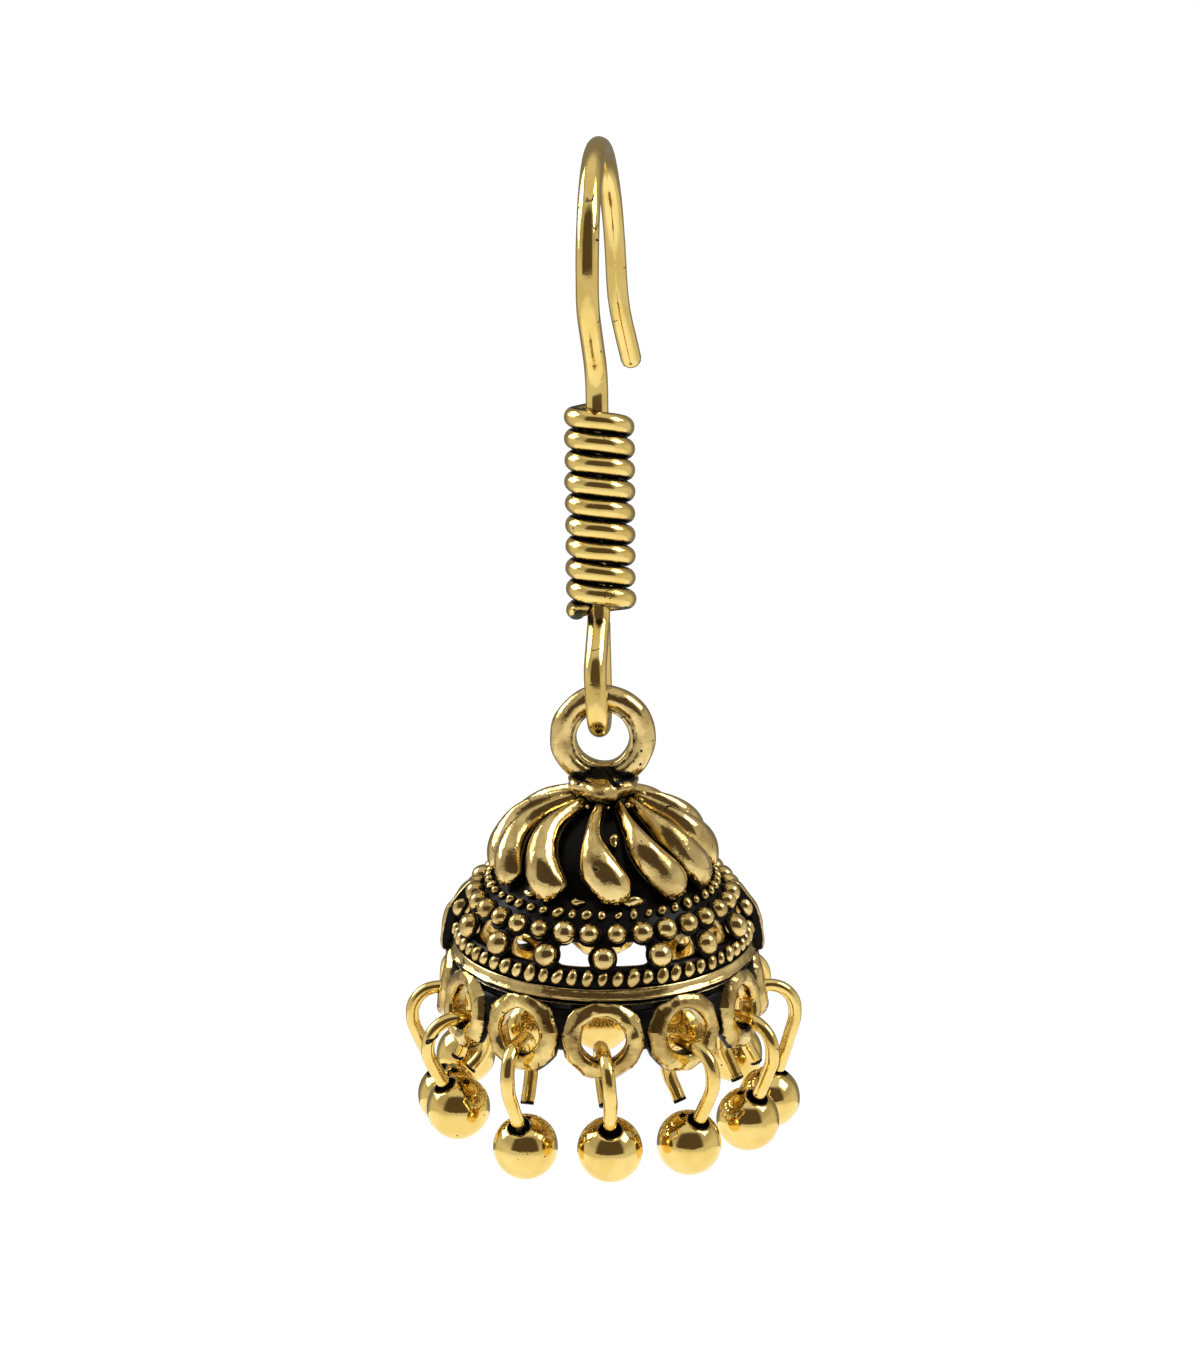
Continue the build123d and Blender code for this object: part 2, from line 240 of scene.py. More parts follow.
def brass(name, golds=CAST_GOLD, crevice=0.35, ragged=0.5, pits=0.10, pit_cell=0.45, polish=0.09,
          wear=0.10, relief=0.010, dents=0.0, nicks=0.006):
    """Polished brass with black left in its hollows.

    golds: the two tones that it drifts between.
    crevice: how readily patina stays where metal meets metal. ragged: how rough its edge is.
    pits: how many of the pit cells hold a pit. pit_cell: millimetres between them.
    polish: roughness of the best polished metal. wear: how much rougher its dull places are.
    relief: millimetres of surface ripple. dents: how much of it is small dents.
    nicks: how wide the thin black lines are that tools left.
    """
    material = bpy.data.materials.new(name)
    material.use_nodes = True
    tree = material.node_tree
    place = node(tree, "ShaderNodeTexCoord").outputs["Object"]
    per_mm = 1 / MM
    broad = node(tree, "ShaderNodeTexNoise", {"Vector": place, "Scale": 0.8 * per_mm,
                                              "Detail": 3.0}).outputs["Fac"]
    grain = node(tree, "ShaderNodeTexNoise", {"Vector": place, "Scale": 3.6 * per_mm,
                                              "Detail": 4.0, "Roughness": 0.6}).outputs["Fac"]
    scuff = node(tree, "ShaderNodeTexNoise", {"Vector": place, "Scale": 14 * per_mm,
                                              "Detail": 2.0}).outputs["Fac"]
    dent = node(tree, "ShaderNodeTexNoise", {"Vector": place, "Scale": 1.9 * per_mm,
                                             "Detail": 0.0}).outputs["Fac"]
    # pits: a few cells of a Voronoi pattern hold one each, bent out of round by the grain
    bent = node(tree, "ShaderNodeVectorMath",
                {0: place, 1: node(tree, "ShaderNodeVectorMath",
                                   {0: node(tree, "ShaderNodeTexNoise",
                                            {"Vector": place, "Scale": 5 * per_mm}).outputs["Color"],
                                    1: (0.00012, 0.00012, 0.00012)},
                                   operation="MULTIPLY").outputs[0]}, operation="ADD").outputs[0]
    cells = node(tree, "ShaderNodeTexVoronoi", {"Vector": bent, "Scale": per_mm / pit_cell})
    chosen = node(tree, "ShaderNodeSeparateColor", {0: cells.outputs["Color"]}).outputs
    width = maths(tree, "MULTIPLY_ADD", chosen["Green"], 0.12)
    width.node.inputs[2].default_value = 0.05
    deep = maths(tree, "SUBTRACT", 1.0, ease(tree, maths(tree, "DIVIDE", cells.outputs["Distance"],
                                                           width), 0.75, 1.15))
    pit = maths(tree, "MULTIPLY", deep, maths(tree, "LESS_THAN", chosen["Red"], pits))
    # nicks: short lines where a noise crosses its middle, kept only in some places
    vein = node(tree, "ShaderNodeTexNoise", {"Vector": place, "Scale": 0.75 * per_mm,
                                             "Detail": 0.3}).outputs["Fac"]
    patch = node(tree, "ShaderNodeTexNoise",
                 {"Vector": place, "Scale": 1.30 * per_mm, "Detail": 0.0, "W": 4.0},
                 noise_dimensions="4D").outputs["Fac"]
    near_middle = maths(tree, "ABSOLUTE", maths(tree, "SUBTRACT", vein, 0.5))
    nick = maths(tree, "SUBTRACT", 1.0, ease(tree, near_middle, nicks * 0.5, nicks * 1.3))
    nick = maths(tree, "MULTIPLY", nick, ease(tree, patch, 0.60, 0.64))
    # patina: what the modeller marked, and what lies in a corner
    marked = node(tree, "ShaderNodeAttribute", attribute_name="patina").outputs["Fac"]
    open_sky = node(tree, "ShaderNodeAmbientOcclusion", {"Distance": 0.45 * MM},
                    samples=6).outputs["AO"]
    corner = maths(tree, "MULTIPLY", maths(tree, "SUBTRACT", 1.0, open_sky), crevice * 2)
    edge = maths(tree, "MULTIPLY", maths(tree, "SUBTRACT", grain, 0.5), ragged * 2)
    held = maths(tree, "ADD", maths(tree, "ADD", marked, corner), edge)
    black = maths(tree, "MAXIMUM", maths(tree, "MAXIMUM", ease(tree, held, 0.38, 0.62), pit), nick)
    tone = blend_colour(tree, ease(tree, broad, 0.35, 0.7), *golds)
    shader = tree.nodes["Principled BSDF"]
    tree.links.new(blend_colour(tree, black, tone, BLACK), shader.inputs["Base Color"])
    tree.links.new(maths(tree, "SUBTRACT", 1.0, black), shader.inputs["Metallic"])
    dull = ease(tree, broad, 0.48, 0.66)
    worn = maths(tree, "MULTIPLY_ADD", dull, wear)
    worn.node.inputs[2].default_value = polish
    tree.links.new(maths(tree, "MULTIPLY_ADD", black, 0.08), shader.inputs["Roughness"])
    rough = shader.inputs["Roughness"].links[0].from_node
    tree.links.new(worn, rough.inputs[2])
    shader.inputs["Specular IOR Level"].default_value = 0.10
    scuffing = maths(tree, "ADD", 0.10, maths(tree, "MULTIPLY", dull, wear * 2))
    scuffed = maths(tree, "MULTIPLY", scuff, scuffing)
    ripple = maths(tree, "ADD", maths(tree, "MULTIPLY", broad, 1.4), scuffed)
    ripple = maths(tree, "ADD", ripple, maths(tree, "MULTIPLY", dent, dents))
    surface = maths(tree, "SUBTRACT", ripple, maths(tree, "MULTIPLY", pit, 1.2))
    bump = node(tree, "ShaderNodeBump", {"Height": surface, "Distance": relief * MM, "Strength": 1.0})
    tree.links.new(bump.outputs["Normal"], shader.inputs["Normal"])
    return material


WIRE_FINISH = brass("drawn_wire", WIRE_GOLD, crevice=0.20, pits=0.14, pit_cell=0.55, polish=0.08,
                    wear=0.07, relief=0.011, dents=0.40, nicks=0.007)
COIL_FINISH = brass("coil_wire", WIRE_GOLD, crevice=0.58, ragged=0.50, pits=0.05, polish=0.10,
                    relief=0.014)
CAST_FINISH = brass("cast_brass", crevice=0.75, ragged=0.30, pits=0.14, polish=0.10, wear=0.18,
                    relief=0.034, dents=0.40, nicks=0.007)
PETAL_FINISH = brass("petal_brass", crevice=0.55, ragged=0.14, pits=0.16, polish=0.09, wear=0.16,
                     relief=0.034, dents=0.50, nicks=0.007)
RING_FINISH = brass("ring_brass", crevice=0.75, ragged=0.60, pits=0.34, polish=0.10, wear=0.26,
                    relief=0.038, dents=1.10, nicks=0.005)
HOOP_FINISH = brass("filed_brass", FILED_GOLD, crevice=0.95, ragged=0.95, pits=0.30, polish=0.06,
                    wear=0.07, relief=0.045, dents=1.60, nicks=0.005)
BEAD_FINISH = brass("grain_brass", crevice=0.60, ragged=0.30, pits=0.02, polish=0.12, relief=0.014)
BALL_FINISH = brass("ball_brass", WIRE_GOLD, crevice=0.22, ragged=0.50, pits=0.16, pit_cell=0.42,
                    polish=0.07, wear=0.06, relief=0.014, dents=0.30, nicks=0.001)
print("finishes", [material.name for material in bpy.data.materials])

# %% [markdown]
# ## Shared tools of the bench
#
# Every piece starts as an empty mesh with a patina value on each vertex: 0 is polished, 1 is black.
# The last step makes the piece an object: it moves the mesh to its place, scales it to metres and
# tells the frame which body carries it.

# %% Start and finish a piece


def new_mesh():
    """An empty mesh and its patina values."""
    bm = bmesh.new()
    return bm, bm.verts.layers.float.new("patina")


def weld(bm, distance=0.002):
    """Merges doubled vertices and turns every face outwards."""
    bmesh.ops.remove_doubles(bm, verts=bm.verts, dist=distance)
    bmesh.ops.recalc_face_normals(bm, faces=bm.faces)


def hand_made(bm, amount, size):
    """Pushes the surface in and out a little, in waves of a given size, as hand work is."""
    bm.normal_update()
    for vert in bm.verts:
        vert.co += vert.normal * amount * noise.noise(vert.co / size)


def finish_piece(name, bm, material, body, base=Vector(), replaces=None, sharp=None, smooth=0):
    """Makes the mesh an object in metres, riding on its body."""
    if sharp:
        for edge in bm.edges:
            edge.smooth = edge.calc_face_angle(0) < radians(sharp)
    bmesh.ops.translate(bm, vec=base, verts=bm.verts)
    bmesh.ops.scale(bm, vec=(MM, MM, MM), verts=bm.verts)
    mesh = bpy.data.meshes.new(name)
    bm.to_mesh(mesh)
    bm.free()
    for face in mesh.polygons:
        face.use_smooth = True
    mesh.materials.append(material)
    piece = bpy.data.objects.new(name, mesh)
    bpy.context.scene.collection.objects.link(piece)
    if smooth:
        rounder = piece.modifiers.new("smoother", "SUBSURF")
        rounder.levels = smooth
        rounder.render_levels = smooth
    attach(piece, body)
    if replaces:
        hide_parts(replaces)
    marked = sum(item.value > 0.5 for item in mesh.attributes["patina"].data)
    print(name, len(mesh.vertices), "vertices,", marked, "of them black, on", body)


def axes_at(x_axis, y_axis, z_axis, origin):
    """The matrix that stands on three axes at a point."""
    made = Matrix.Identity(4)
    for column, axis in enumerate((x_axis, y_axis, z_axis, origin)):
        made.col[column][:3] = axis
    return made


def open_edges(verts):
    """The edges of a loop, from its vertices."""
    return list({edge for vert in verts for edge in vert.link_edges})


def circle_at(bm, place, radius, sides):
    """A ring of vertices in the plane of a matrix, and its edges."""
    made = bmesh.ops.create_circle(bm, segments=sides, radius=radius, matrix=place)
    return open_edges(made["verts"])


def close_end(bm, edges, edge_round):
    """Fills a wire's end and rounds its rim."""
    cap = bmesh.ops.contextual_create(bm, geom=edges)["faces"]
    bmesh.ops.bevel(bm, geom=list(cap[0].edges), offset=edge_round, offset_type="OFFSET",
                    segments=3, profile=0.5, affect="EDGES", material=-1)


# %% [markdown]
# Wire is drawn straight and then bent, and it is modelled that way: a ring of vertices is extruded
# along each straight run and spun round each bend. The corners and the bend radii are the ones
# that the CAD wires have, so the wire lies exactly where they do.

# %% Bend a wire


def bend_wire(bm, corners, radius, sides=20, run_step=0.5, bend_step=9.0):
    """Draws a wire through its corners, each a (point, bend radius). Returns its two end loops."""
    points = [point for point, bend in corners]
    heading = (points[1] - points[0]).normalized()
    place = Matrix.Translation(points[0]) @ heading.to_track_quat("Z", "Y").to_matrix().to_4x4()
    first = circle_at(bm, place, radius, sides)
    edges, here = first, points[0]

    def run_to(edges, here, there):
        steps = max(1, ceil((there - here).length / run_step))
        for count in range(steps):
            grown = bmesh.ops.extrude_edge_only(bm, edges=edges)["geom"]
            edges = [item for item in grown if isinstance(item, bmesh.types.BMEdge)]
            verts = [item for item in grown if isinstance(item, bmesh.types.BMVert)]
            bmesh.ops.translate(bm, vec=(there - here) / steps, verts=verts)
        return edges

    for index in range(1, len(corners) - 1):
        corner, bend = corners[index]
        before = (corner - points[index - 1]).normalized()
        after = (points[index + 1] - corner).normalized()
        turn = before.angle(after)
        bend_start = corner - before * bend * tan(turn / 2)
        if (bend_start - here).length > 0.02:
            edges = run_to(edges, here, bend_start)
        inward = (after - before * before.dot(after)).normalized()
        spun = bmesh.ops.spin(bm, geom=edges, cent=bend_start + inward * bend,
                              axis=before.cross(inward), angle=turn,
                              steps=max(2, ceil(turn / radians(bend_step))), use_merge=False)
        edges = [item for item in spun["geom_last"] if isinstance(item, bmesh.types.BMEdge)]
        here = corner + after * bend * tan(turn / 2)
    edges = run_to(edges, here, points[-1])
    return first, edges


# %% [markdown]
# ## Hook and coil
#
# The hook is wire of about 1 mm. It starts at a cut end just under the coil, makes the eye, runs up
# through the coil and arches over to the rear leg, whose tip is filed round so that it slides
# through the ear.

# %% The hook
WIRE = 1.05
LEAN = radians(9.0)         # the shank leans back
EYE_HALF = 1.45
EYE_BEND = 1.43
HOOK_TURN = radians(8.0)
ARCH_FRONT = 0.1
ARCH_BACK = 11.3
ARCH_TOP = 25.85
ARCH_BEND = 5.58
SEAT_REACH = 5.7            # from the eye's foot to the middle of the arch
SEAT_RISE = 25.325
along = Vector((sin(HOOK_TURN), cos(HOOK_TURN), 0))
upright = -(eye_foot + along * SEAT_REACH) / SEAT_RISE


def in_hook(reach, rise, aside=0.0):
    """Point in the hook's plane, or a little beside it where hand bending left the wire."""
    return eye_foot + along * reach + upright * rise + along.cross(upright) * aside


def leaning(side, rise, aside=0.0):
    """Point beside and along the line of the shank, which leans back from the eye."""
    above_eye = rise - EYE_BEND
    return in_hook(side * cos(LEAN) + above_eye * sin(LEAN),
                   EYE_BEND - side * sin(LEAN) + above_eye * cos(LEAN), aside)


hook_corners = [
    (leaning(EYE_HALF, 4.7, -0.30), None),
    (leaning(EYE_HALF, 0.0, -0.22), EYE_BEND),
    (leaning(-EYE_HALF, 0.0, 0.0), EYE_BEND),
    (leaning(-EYE_HALF, 2.7, -0.10), 1.6),
    (leaning(0.0, 4.95, -0.10), 1.4),
    (leaning(0.0, 16.1, -0.10), 2.4),
    (in_hook(ARCH_FRONT, 19.0, -0.10), 2.6),
    (in_hook(ARCH_FRONT, ARCH_TOP, 0.05), ARCH_BEND),
    (in_hook(ARCH_BACK, ARCH_TOP, -0.42), ARCH_BEND),
    (in_hook(ARCH_BACK, 18.2, -0.26), 6.0),
    (in_hook(ARCH_BACK + 1.2, 15.0, 0.24), None),
]
bm, patina = new_mesh()
cut_end, filed_end = bend_wire(bm, hook_corners, WIRE / 2 - 0.006, sides=24)
close_end(bm, cut_end, 0.05)
close_end(bm, filed_end, 0.42)
weld(bm)
hand_made(bm, 0.012, 1.6)
finish_piece("hook", bm, WIRE_FINISH, "hook", replaces="ear_hook")

# %% [markdown]
# The coil is a finer wire wound round the shank. A spin with a small step up after each turn is
# just what winding does. Its underside stayed black, since no polishing stick fits between turns.

# %% The coil
COIL_WIRE = 0.95
COIL_PITCH = 0.98
COIL_TURNS = 9.3
COIL_RADIUS = 1.15
COIL_FOOT = 5.27
COIL_TAIL = radians(-50.0)
TURN_STEPS = 40
TAIL_ARC = radians(40)      # the lower end is cut to a wedge
TAIL_THIN = 0.35
TAIL_LEVEL = 0.40
bm, patina = new_mesh()
profile = circle_at(bm, Matrix.Translation((COIL_RADIUS, 0, 0)) @ Matrix.Rotation(pi / 2, 4, "X"),
                    COIL_WIRE / 2, 20)
for vert in bm.verts:
    down = -vert.co.z / (COIL_WIRE / 2)
    vert[patina] = min(1, max(0, (down - 0.60) * 2.2)) + (0.9 if down < -0.95 else 0)
steps = round(COIL_TURNS * TURN_STEPS)
wound = bmesh.ops.spin(bm, geom=profile, cent=(0, 0, 0), axis=(0, 0, 1),
                       dvec=(0, 0, COIL_PITCH / TURN_STEPS), angle=-2 * pi * COIL_TURNS,
                       steps=steps, use_merge=False)
top_end = [item for item in wound["geom_last"] if isinstance(item, bmesh.types.BMEdge)]
close_end(bm, profile, 0.04)
close_end(bm, top_end, 0.04)
weld(bm)
for vert in bm.verts:
    turned = -atan2(vert.co.y, vert.co.x)
    if -0.01 < turned < TAIL_ARC and vert.co.z < COIL_WIRE / 2:
        share = TAIL_THIN + (1 - TAIL_THIN) * max(0, turned) / TAIL_ARC
        vert.co.z = TAIL_LEVEL - (TAIL_LEVEL - vert.co.z) * share
hand_made(bm, 0.035, 1.3)
coil_start = leaning(0, COIL_FOOT)
coil_up = (leaning(0, COIL_FOOT + 1) - coil_start).normalized()
tail_side = Vector((sin(COIL_TAIL), -cos(COIL_TAIL), 0))
tail_side = (tail_side - coil_up * tail_side.dot(coil_up)).normalized()
stand = axes_at(tail_side, coil_up.cross(tail_side), coil_up, coil_start)
bmesh.ops.transform(bm, matrix=stand, verts=bm.verts)
finish_piece("coil", bm, COIL_FINISH, "hook", replaces="coil_wrap")

# %% [markdown]
# ## The bell's wall
#
# On the bell a place is given by its radius, its height above the rim and its azimuth, counted from the
# front. The wall is a profile spun round the axis. The pierced belt is made as a caster pierces wax:
# a few faces are taken out of the outer and the inner wall, and the two holes are bridged.

# %% Places on the bell


def spot(radius, height, azimuth):
    """Point on the bell."""
    a = radians(azimuth)
    return Vector((radius * sin(a), -radius * cos(a), height))


def facing(radius, height, azimuth, slope, twist=0.0):
    """Matrix on the bell: x across, y up the surface, z out of it. Slope is z's angle above level."""
    a, s = radians(azimuth), radians(slope)
    across = Vector((cos(a), sin(a), 0))
    outward = Vector((sin(a) * cos(s), -cos(a) * cos(s), sin(s)))
    made = axes_at(across, outward.cross(across), outward, spot(radius, height, azimuth))
    return made @ Matrix.Rotation(radians(twist), 4, "Z")


def spin_profile(bm, points, steps):
    """Spins a closed outline of (radius, height) points a full turn round z."""
    verts = [bm.verts.new((radius, 0, height)) for radius, height in points]
    edges = [bm.edges.new((first, second)) for first, second in zip(verts, verts[1:] + verts[:1])]
    bmesh.ops.spin(bm, geom=verts + edges, cent=(0, 0, 0), axis=(0, 0, 1), angle=2 * pi,
                   steps=steps, use_merge=True)


def everywhere(bm, count, drift=None):
    """Repeats what the mesh holds round the bell. Drift is each copy's degrees off its even place."""
    original = list(bm.verts) + list(bm.edges) + list(bm.faces)
    copies = [bmesh.ops.duplicate(bm, geom=original)["geom"] for number in range(count - 1)]
    for number, copy in enumerate([original] + copies):
        verts = [item for item in copy if isinstance(item, bmesh.types.BMVert)]
        turn = 2 * pi * number / count + radians(drift[number] if drift else 0.0)
        bmesh.ops.rotate(bm, cent=(0, 0, 0), matrix=Matrix.Rotation(turn, 3, "Z"), verts=verts)


# %% The wall and its sixteen windows
WALL_STEPS = 96
WINDOWS = 16
outer_wall = [(0.0, 8.1), (1.2, 7.95), (2.2, 7.5), (3.1, 6.9), (3.8, 6.3), (4.25, 5.75), (4.5, 5.25),
              (4.65, 4.85), (4.9, 4.55), (5.25, 4.3), (5.6, 3.95), (5.95, 3.58), (6.2, 3.26), (6.45, 2.82),
              (6.68, 2.36), (6.82, 1.95), (6.9, 1.5), (6.94, 1.1), (6.94, 0.55)]
inner_wall = [(6.4, 0.55), (6.35, 1.3), (6.22, 1.8), (6.05, 2.2), (5.82, 2.6), (5.56, 2.98), (5.3, 3.3),
              (4.9, 3.7), (4.3, 4.2), (3.95, 4.9), (3.5, 5.5), (2.7, 6.1), (1.4, 6.5), (0.0, 6.6)]
WINDOW_LOW = 2.19           # the faces between these heights can belong to a window
WINDOW_HIGH = 3.27
BELT_RADIUS = 5.5
bm, patina = new_mesh()
spin_profile(bm, outer_wall + inner_wall, WALL_STEPS)
bmesh.ops.remove_doubles(bm, verts=bm.verts, dist=0.002)
step_angle = 360 / WALL_STEPS
window_faces = [[] for number in range(WINDOWS)]
for face in bm.faces:
    middle = face.calc_center_median()
    low = min(vert.co.z for vert in face.verts)
    high = max(vert.co.z for vert in face.verts)
    azimuth = (atan2(middle.x, -middle.y) * 180 / pi) % 360
    number, within = divmod(azimuth, 360 / WINDOWS)
    belt = WINDOW_LOW < low and high < WINDOW_HIGH and hypot(middle.x, middle.y) > BELT_RADIUS
    if belt and step_angle < within < 360 / WINDOWS - step_angle:
        window_faces[int(number)].append(face)
holes = [{edge for face in faces for edge in face.edges
          if sum(other in faces for other in edge.link_faces) == 1} for faces in window_faces]
bmesh.ops.delete(bm, geom=[face for faces in window_faces for face in faces], context="FACES")
for hole in holes:
    bmesh.ops.bridge_loops(bm, edges=[edge for edge in hole if edge.is_valid])
weld(bm)
for vert in bm.verts:
    reach = hypot(vert.co.x, vert.co.y)
    inside = any(abs(reach - radius) + abs(vert.co.z - height) < 0.01 for radius, height in inner_wall)
    vert[patina] = 0.0 if inside else 0.95
hand_made(bm, 0.05, 0.9)
finish_piece("bell_wall", bm, CAST_FINISH, "drop", base=bell_base, replaces="bell",
             smooth=1)

# %% [markdown]
# ## Petals
#
# Twelve petals swirl down from the knob, each a drop of metal that is thin and steep at the top and
# ends in a round bulb over the shoulder. One petal is a chain of ellipses that are bridged and then
# smoothed by subdivision. The side and back of each ellipse are marked black, so that every petal
# stands on a dark ground, and each petal is warped a little differently.

# %% One petal, twelve times
PETALS = 12
# each petal was set in the wax by hand, a few degrees off its even place
petal_drift = [3.5, 6.5, 2.5, 1.0, -1.0, 0.0, 1.0, -1.0, 0.5, -1.0, -4.5, -3.5]
petal_stations = [
    # crest radius, height, lag, half width, half depth, facing
    (1.25, 8.52, -5.0, 0.20, 0.40, 82),
    (1.95, 8.44, -9.5, 0.25, 0.50, 78),
    (2.7, 8.20, -12.3, 0.30, 0.62, 71),
    (3.65, 7.84, -12.5, 0.46, 0.76, 62),
    (4.45, 7.36, -9.5, 0.76, 0.88, 52),
    (5.02, 6.80, -5.0, 1.00, 0.94, 40),
    (5.42, 6.12, -1.2, 1.10, 0.96, 22),
    (5.57, 5.46, 1.0, 1.08, 0.92, 0),
    (5.46, 4.88, 1.8, 0.90, 0.76, -28),
    (5.20, 4.46, 2.2, 0.56, 0.46, -52),
]
PETAL_SIDES = 16
bm, patina = new_mesh()
sections = []
for radius, height, lag, half_width, half_depth, slope in petal_stations:
    crest = facing(radius, height, lag, slope)
    # the section stands across the petal: x across, y out of the surface
    across_petal = crest @ Matrix.Translation((0, 0, -half_depth)) @ Matrix.Rotation(pi / 2, 4, "X")
    shape = across_petal @ Matrix.Diagonal((half_width, half_depth, 1, 1))
    made = bmesh.ops.create_circle(bm, segments=PETAL_SIDES, radius=1.0, matrix=shape)["verts"]
    for vert in made:
        rise = (across_petal.inverted() @ vert.co).y / half_depth
        vert[patina] = min(1, max(0, 0.55 - rise * 2.2))
    sections.append(open_edges(made))
for first, second in zip(sections, sections[1:]):
    bmesh.ops.bridge_loops(bm, edges=first + second)
bmesh.ops.contextual_create(bm, geom=sections[0])
bmesh.ops.contextual_create(bm, geom=sections[-1])
everywhere(bm, PETALS, petal_drift)
weld(bm)
hand_made(bm, 0.16, 1.5)
hand_made(bm, 0.05, 0.55)
finish_piece("bell_petals", bm, PETAL_FINISH, "drop", base=bell_base, smooth=2)

# %% [markdown]
# ## Beads and grains
#
# Four rows of little balls run round the belt. In the wax they are drops, so no two are alike: size and
# seat drift, which a noise on the row's own number gives without any random table. The two
# rows of beads sit in collets, thin raised rings that stayed black.

# %% Rows of beads


def bead_row(bm, count, radius, height, slope, size, twist=0.0, start=0.0, sides=(16, 10),
             drift=0.10, seed=0.0):
    """Adds a row of squashed balls. Size is (across, up, deep), in millimetres."""
    for number in range(count):
        chance = Vector((number * 1.7 + seed, seed * 0.37, 0.5))
        grow = 1 + drift * 2 * noise.noise(chance)
        shift = drift * 4 * noise.noise(chance + Vector((0, 9.1, 0)))
        turn = twist * (1 + drift * 6 * noise.noise(chance + Vector((0, 0, 5.3))))
        place = facing(radius, height, start + number * 360 / count + shift, slope, turn)
        shape = place @ Matrix.Diagonal([half * grow / 2 for half in size] + [1])
        bmesh.ops.create_uvsphere(bm, u_segments=sides[0], v_segments=sides[1], radius=1.0,
                                  matrix=shape)


def collet_row(bm, patina, count, radius, height, slope, ring, bar, start=0.0):
    """Adds a row of thin black rings that lie on the wall."""
    for number in range(count):
        place = facing(radius, height, start + number * 360 / count, slope)
        profile = circle_at(bm, place @ Matrix.Translation((ring, 0, 0)) @ Matrix.Rotation(pi / 2, 4, "X"),
                            bar, 8)
        verts = list({vert for edge in profile for vert in edge.verts})
        for vert in verts:
            vert[patina] = 0.9
        bmesh.ops.spin(bm, geom=verts + profile, cent=place.translation, axis=place.col[2].xyz,
                       angle=2 * pi, steps=24, use_merge=True)


UPPER_BEADS = 32
LOWER_BEADS = 16
bm, patina = new_mesh()
bead_row(bm, UPPER_BEADS, 6.03, 3.66, 40, (0.99, 0.99, 0.94), start=180 / UPPER_BEADS, sides=(24, 14),
         drift=0.11, seed=3.0)
bead_row(bm, LOWER_BEADS, 6.66, 2.74, 30, (1.13, 1.13, 1.02), sides=(24, 14), drift=0.07, seed=11.0)
hand_made(bm, 0.03, 0.5)
finish_piece("bell_beads", bm, BEAD_FINISH, "drop", base=bell_base)

bm, patina = new_mesh()
collet_row(bm, patina, UPPER_BEADS, 5.97, 3.58, 40, 0.49, 0.085, start=180 / UPPER_BEADS)
collet_row(bm, patina, LOWER_BEADS, 6.57, 2.70, 30, 0.57, 0.095)
weld(bm)
hand_made(bm, 0.03, 0.4)
finish_piece("bell_collets", bm, CAST_FINISH, "drop", base=bell_base)

UPPER_GRAINS = 48
LOWER_GRAINS = 64
bm, patina = new_mesh()
bead_row(bm, UPPER_GRAINS, 5.34, 4.28, 48, (0.44, 0.58, 0.50), twist=-26, sides=(12, 8), drift=0.22,
         seed=23.0)
bead_row(bm, LOWER_GRAINS, 6.92, 1.88, 14, (0.56, 0.78, 0.50), twist=-22, sides=(12, 8), drift=0.13,
         seed=37.0)
hand_made(bm, 0.05, 0.3)
finish_piece("bell_grains", bm, BEAD_FINISH, "drop", base=bell_base)

# %% [markdown]
# Casting leaves more than the pattern asks for: little lumps of metal in the corners between the
# petals' feet, and a flat seam on each side where the two halves of the mould met. They are kept,
# because they are what tells a cast piece from a machined one.

# %% Lumps and seams of the casting
bm, patina = new_mesh()
bead_row(bm, PETALS, 4.90, 4.72, 42, (0.74, 0.36, 0.36), start=180 / PETALS + 1, sides=(12, 8),
         drift=0.35, seed=51.0)
bead_row(bm, PETALS, 1.86, 8.22, 50, (0.26, 0.26, 0.22), start=8, sides=(10, 6), drift=0.3, seed=61.0)
oval = facing(3.25, 7.10, 9, 62) @ Matrix.Diagonal((0.22, 0.36, 0.22, 1))
bmesh.ops.create_uvsphere(bm, u_segments=20, v_segments=12, radius=1.0, matrix=oval)
hand_made(bm, 0.12, 0.35)
finish_piece("bell_lumps", bm, BEAD_FINISH, "drop", base=bell_base)

seam_outline = [(6.1, 4.15), (6.45, 3.95), (6.95, 3.35), (7.35, 2.75), (7.55, 2.0), (7.68, 1.2),
                (7.62, 0.6), (6.7, 0.6), (6.5, 2.0), (5.9, 3.4)]
SEAM_THICK = 0.55
bm, patina = new_mesh()
for side_sign in (-1, 1):
    verts = [bm.verts.new((side_sign * radius, -SEAM_THICK / 2, height)) for radius, height in seam_outline]
    plate = bm.faces.new(verts)
    grown = bmesh.ops.extrude_face_region(bm, geom=[plate])["geom"]
    bmesh.ops.translate(bm, vec=(0, SEAM_THICK, 0),
                        verts=[item for item in grown if isinstance(item, bmesh.types.BMVert)])
weld(bm)
broad_sides = [face for face in bm.faces if abs(face.normal.y) > 0.9]
bmesh.ops.inset_region(bm, faces=broad_sides, thickness=0.16, depth=0.03)
for face in broad_sides:
    for vert in face.verts:
        vert[patina] = 1.0
bmesh.ops.subdivide_edges(bm, edges=list(bm.edges), cuts=1, use_grid_fill=True)
hand_made(bm, 0.16, 0.6)
finish_piece("bell_seams", bm, CAST_FINISH, "drop", base=bell_base, smooth=1)

# %% [markdown]
# ## Rim
#
# Below the last grains the rim is a flat band that faces a little upwards, with a thin roll on each
# edge, then a black groove and one more thin line. It is a small profile spun round the bell.

